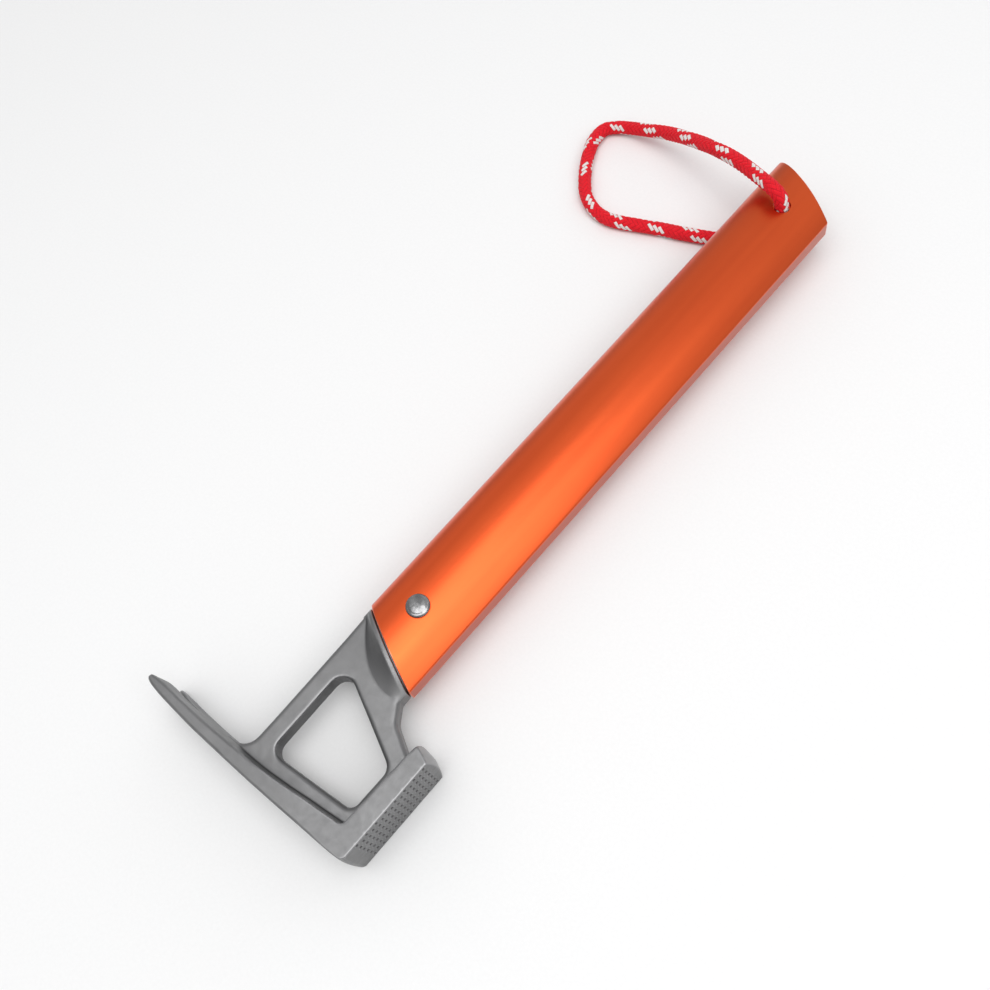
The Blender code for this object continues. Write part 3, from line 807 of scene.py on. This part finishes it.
def tube_points():
    """Rings round the wall: outside from head to butt, over the butt's rim, inside, and back."""
    outer = tube_section(0.0)
    rings, edges = [], []

    def ring(inset, where, edge):
        section = outer if inset == 0 else tube_section(inset)
        rings.append(np.stack([section[:, 0], where - CUT_SLOPE * section[:, 0], section[:, 1]], 1))
        edges.append(edge)

    for inset, back in OUTER_LIP:
        ring(inset, TUBE_START + back, OUTER_WEAR)
    for where in tube_stations():
        ring(0, where, 0.0)
    for inset, back in reversed(OUTER_LIP):
        ring(inset, TUBE_END - back, OUTER_WEAR)
    for inset, back in INNER_LIP:
        ring(WALL - inset, TUBE_END - back, INNER_WEAR)
    for where in np.linspace(TUBE_END - 2, TUBE_START + 2, 12):
        ring(WALL, where, 0.0)
    for inset, back in reversed(INNER_LIP):
        ring(WALL - inset, TUBE_START + back, INNER_WEAR)
    return rings, edges


def ring_quads(ring_count, side_count, closed):
    """Quads between neighbouring rings of points, and from the last to the first if closed."""
    quads = []
    for r in range(ring_count if closed else ring_count - 1):
        upper = (r + 1) % ring_count
        i = np.arange(side_count)
        j = (i + 1) % side_count
        quads.append(np.stack([r * side_count + i, upper * side_count + i,
                               upper * side_count + j, r * side_count + j], 1))
    return np.vstack(quads)


def drill(obj, radius, y):
    """Cuts a round hole through both walls."""
    turns = [2 * math.pi * k / ROUND_SIDES for k in range(ROUND_SIDES)]
    circle = [(radius * math.cos(turn), y + radius * math.sin(turn)) for turn in turns]
    data = capped_rings("drill", [[(*point, z) for point in circle] for z in (-20.0, 20.0)])
    cutter = bpy.data.objects.new("drill", data)
    bpy.context.scene.collection.objects.link(cutter)
    step = obj.modifiers.new("drill", "BOOLEAN")
    step.object = cutter
    step.operation = "DIFFERENCE"
    step.solver = "EXACT"
    bake_modifiers(obj)
    bpy.data.objects.remove(cutter, do_unlink=True)


def bake_modifiers(obj):
    """Gives the object the mesh that its modifiers make."""
    graph = bpy.context.evaluated_depsgraph_get()
    data = bpy.data.meshes.new_from_object(obj.evaluated_get(graph))
    obj.modifiers.clear()
    old = obj.data
    obj.data = data
    bpy.data.meshes.remove(old)


def make_handle(orange):
    """The extruded tube. It is rubbed lighter along the strip's two edges and darker on its narrow sides,
    which is painted shade.
    """
    rings, edges = tube_points()
    quads = ring_quads(len(rings), len(rings[0]), True)
    data = mesh_from_arrays("handle_extrusion", np.vstack(rings), quads[:, ::-1], HAMMER)
    x, z = tube_section(0.0).T
    crease = 0.42 * np.exp(-((np.abs(z) - STRIP_HALF) / 0.35) ** 2) * (x > 14.0)
    # Painted shade on the two narrow sides, carried in the edge attribute as values below 0.
    narrow = np.where(x > 0, smooth_step(x, 14.3, 14.8), smooth_step(-x, 12.9, 14.6))
    wear_and_painted_shading = [np.maximum(edge, crease) - narrow * (edge == 0) * (crease < 0.1) for edge in edges]
    add_edge_attribute(data, np.concatenate(wear_and_painted_shading))
    handle = new_piece("handle_extrusion", data, orange, "hammer")
    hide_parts("handle_tube")
    drill(handle, CORD_HOLE_RADIUS, HOLE_Y)
    drill(handle, RIVET_HOLE_RADIUS, RIVET_Y)
    handle.data.shade_smooth()
    handle.data.set_sharp_from_angle(angle=math.radians(38))


def lathe(profile, side_count):
    """Rings of a turned shape about z from (radius, z) points, as vertices and quads."""
    rings = []
    for radius, z in profile:
        angle = np.arange(side_count) * 2 * math.pi / side_count
        rings.append(np.stack([radius * np.cos(angle), radius * np.sin(angle), np.full(side_count, z)], 1))
    return np.vstack(rings), ring_quads(len(rings), side_count, False)


def make_rivet(metal):
    """A turned rivet with a low dome, a bevelled ring round it and a shank through the tube.

    The profile's heights are above the tube's surface; the lower half mirrors the upper.
    """
    surface = TUBE_HALF + 0.05
    upper = [(0.002, 1.42), (0.8, 1.41), (1.6, 1.36), (2.3, 1.28), (2.75, 1.20), (2.95, 1.10), (3.1, 1.02),
             (3.3, 1.00), (3.55, 0.92), (3.8, 0.74), (3.95, 0.50), (4.0, 0.28), (3.98, 0.10), (3.90, -0.25),
             (2.5, -0.30)]
    profile = [(r, surface + z) for r, z in upper]
    profile += [(r, -z) for r, z in reversed(profile)]
    points, quads = lathe(profile, ROUND_SIDES)
    points[:, 1] += RIVET_Y
    data = mesh_from_arrays("rivet_turned", points, quads, HAMMER)
    data.set_sharp_from_angle(angle=math.radians(60))
    rivet = new_piece("rivet_turned", data, metal, "hammer")
    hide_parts("rivet")


# ---------------------------------------------------------------- the braided cord

# The loop's route from the middle of the lanyard hole, along the part's axes, in millimetres
CORD_ROUTE = [
    (0.0, 0.0, 3.6), (0.0, -0.1, 7.2), (-0.2, -0.1, 9.8), (-1.6, 0.0, 12.7), (-5.0, 0.4, 14.3),
    (-11.8, 2.5, 13.4), (-21.1, 5.1, 12.1), (-29.9, 7.0, 10.4), (-40.2, 9.5, 6.5), (-50.6, 12.1, 1.5),
    (-61.6, 13.8, -3.5), (-70.7, 14.0, -7.5), (-79.0, 13.2, -10.3), (-85.0, 11.1, -11.45),
    (-88.7, 7.4, -11.75), (-88.6, 0.8, -11.75), (-86.2, -5.3, -11.75), (-82.1, -12.2, -11.75),
    (-77.5, -18.5, -11.75), (-71.8, -23.7, -11.75), (-65.2, -26.7, -11.75), (-59.0, -27.1, -11.75),
    (-53.2, -25.5, -11.75), (-46.5, -22.6, -11.75), (-39.3, -19.5, -11.75), (-31.8, -16.7, -11.75),
    (-21.1, -12.2, -11.75), (-14.0, -8.8, -11.75), (-7.5, -4.8, -11.75), (-2.6, -1.6, -11.75),
    (-1.3, -0.8, -11.33), (-0.35, -0.2, -10.2), (0.0, 0.0, -8.6), (0.0, 0.0, -6.8), (0.0, 0.0, -3.6),
]
# How far the braid is twisted, in turns, along the cord in millimetres
CORD_TWIST = [
    (0, -0.10), (20, -0.22), (40, -0.10), (63, 0.25), (85, 0.52), (100, 0.51), (113, 0.31),
    (128, 0.13), (147, 0.12), (161, -0.06), (175, -0.22), (190, -0.30), (232, -0.40),
]
KNOT_STEPS = 80
KNOT_CORD_RADIUS = 1.7
KNOT_PITCH = 9.0


def even_path(points, spacing):
    """Evenly spaced points on a path, and how far along it each one lies."""
    points = np.array(points)
    run = np.concatenate([[0], np.cumsum(np.linalg.norm(np.diff(points, axis=0), axis=1))])
    where = np.linspace(0, run[-1], max(2, round(run[-1] / spacing)))
    return np.stack([np.interp(where, run, points[:, i]) for i in range(3)], 1), where


def carried_frames(path, start):
    """Two directions across the path at each point, turned no more than the path bends."""
    ahead = np.gradient(path, axis=0)
    ahead /= np.linalg.norm(ahead, axis=1)[:, None]
    side = np.array(start, float)
    first, second = [], []
    for direction in ahead:
        side = side - direction * side.dot(direction)
        side /= np.linalg.norm(side)
        first.append(side)
        second.append(np.cross(direction, side))
    return np.array(first), np.array(second)


def braid_height(turn, along):
    """How far the 16-strand braid stands out at a place round and along the cord."""
    right = (along + turn) * STRANDS_EACH_WAY
    left = (along - turn) * STRANDS_EACH_WAY
    right_on_top = np.mod(np.floor(right) - np.floor(left), WEAVE) < WEAVE_TOP
    across = np.where(right_on_top, np.mod(right, 1), np.mod(left, 1))
    passed = np.where(right_on_top, np.floor(right) - left + 1, right - np.floor(left))
    passed = np.mod(passed, WEAVE) - np.where(right_on_top, 0, 1)
    run = np.clip(passed / 2, 0, 1)
    return np.sin(np.pi * across) ** 0.7 * (0.55 + 0.45 * np.sin(np.pi * run) ** 0.8)


def braid_uv(mesh, sides, roll, along):
    """Writes the turn round the cord and the place along it, in pitches, as the braid's UV."""
    layer = mesh.loops.layers.uv.new("braid")
    last = len(along) - 1
    for face in mesh.faces:
        columns = [v.index % sides for v in face.verts]
        wraps = max(columns) - min(columns) > sides // 2
        for loop in face.loops:
            ring, column = divmod(loop.vert.index, sides)
            if ring > last:
                ring, column = (0 if column == 0 else last), 0
            u = column / sides
            if wraps and column < sides // 2:
                u += 1
            loop[layer].uv = (u + roll[ring], along[ring])
        face.smooth = True


def braided_tube(name, path, radius, start, pitch, sides=ROUND_SIDES, spacing=0.27,
                 phase=0.0, twist=((0, 0), (1, 0))):
    """A tube with the braid's own strands raised on it, and the braid's coordinates as its UV."""
    path, run = even_path(path, spacing)
    first, second = carried_frames(path, start)
    turn = np.arange(sides) / sides
    angle = 2 * math.pi * turn
    curve = np.array(smooth_path(twist, 8))
    roll = phase + np.interp(run, curve[:, 0], curve[:, 1])
    height = braid_height(turn[None, :] + roll[:, None], run[:, None] / pitch)
    reach = radius - BRAID_SUNK + BRAID_RAISED * height
    outward = (first[:, None, :] * np.cos(angle)[None, :, None]
               + second[:, None, :] * np.sin(angle)[None, :, None])
    rings = path[:, None, :] + reach[..., None] * outward
    points = np.vstack([rings.reshape(-1, 3), path[:1], path[-1:]])
    quads = ring_quads(len(path), sides, False)
    data = mesh_from_arrays(name, points * MM + np.array(HINGE), quads[:, ::-1])
    mesh = bmesh.new()
    mesh.from_mesh(data)
    mesh.verts.ensure_lookup_table()
    *_, start_cap, end_cap = mesh.verts
    last = (len(path) - 1) * sides
    for i in range(sides):
        j = (i + 1) % sides
        mesh.faces.new((start_cap, mesh.verts[j], mesh.verts[i]))
        mesh.faces.new((end_cap, mesh.verts[last + i], mesh.verts[last + j]))
    braid_uv(mesh, sides, roll, run / pitch)
    bmesh.ops.recalc_face_normals(mesh, faces=mesh.faces)
    mesh.to_mesh(data)
    mesh.free()
    return data, path


def make_cord(cloth):
    """The wrist loop and its knot."""
    route = smooth_path(CORD_ROUTE, 8)
    side = (0.77, -0.56, 0.0)
    data, path = braided_tube("cord_braid", route, CORD_DIAMETER / 2, side, BRAID_PITCH,
                              phase=BRAID_PHASE, twist=CORD_TWIST)
    cord = new_piece("cord_braid", data, cloth, "lanyard")
    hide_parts("lanyard_cord")
    knot = make_knot(cloth)


def make_knot(cloth):
    """The knot that keeps the cord's ends inside the tube: a trefoil pulled tight."""
    points = []
    for k in range(KNOT_STEPS + 1):
        t = 2 * math.pi * k / KNOT_STEPS
        ring = 2.15 + 0.95 * math.cos(3 * t)
        points.append((ring * math.cos(2 * t), ring * math.sin(2 * t), 1.75 * math.sin(3 * t)))
    data, _ = braided_tube("knot_tied", smooth_path(points, 3), KNOT_CORD_RADIUS, (0, 0, 1), KNOT_PITCH,
                           sides=ROUND_SIDES // 2, spacing=0.35)
    knot = new_piece("knot_tied", data, cloth, "lanyard")
    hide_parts("lanyard_knot")
    return knot


# ---------------------------------------------------------------- the stage

def make_floor():
    mesh = bmesh.new()
    bmesh.ops.create_grid(mesh, x_segments=8, y_segments=8, size=2.5)
    data = bpy.data.meshes.new("floor")
    mesh.to_mesh(data)
    mesh.free()
    data.materials.append(floor_material())
    floor = bpy.data.objects.new("floor", data)
    bpy.context.scene.collection.objects.link(floor)


make_camera()
make_cord(cord_material())
make_lights()
steel = steel_material()
make_head(steel)
make_tang(steel)
make_handle(orange_material())
make_rivet(rivet_material())
make_floor()

bpy.context.view_layer.update()
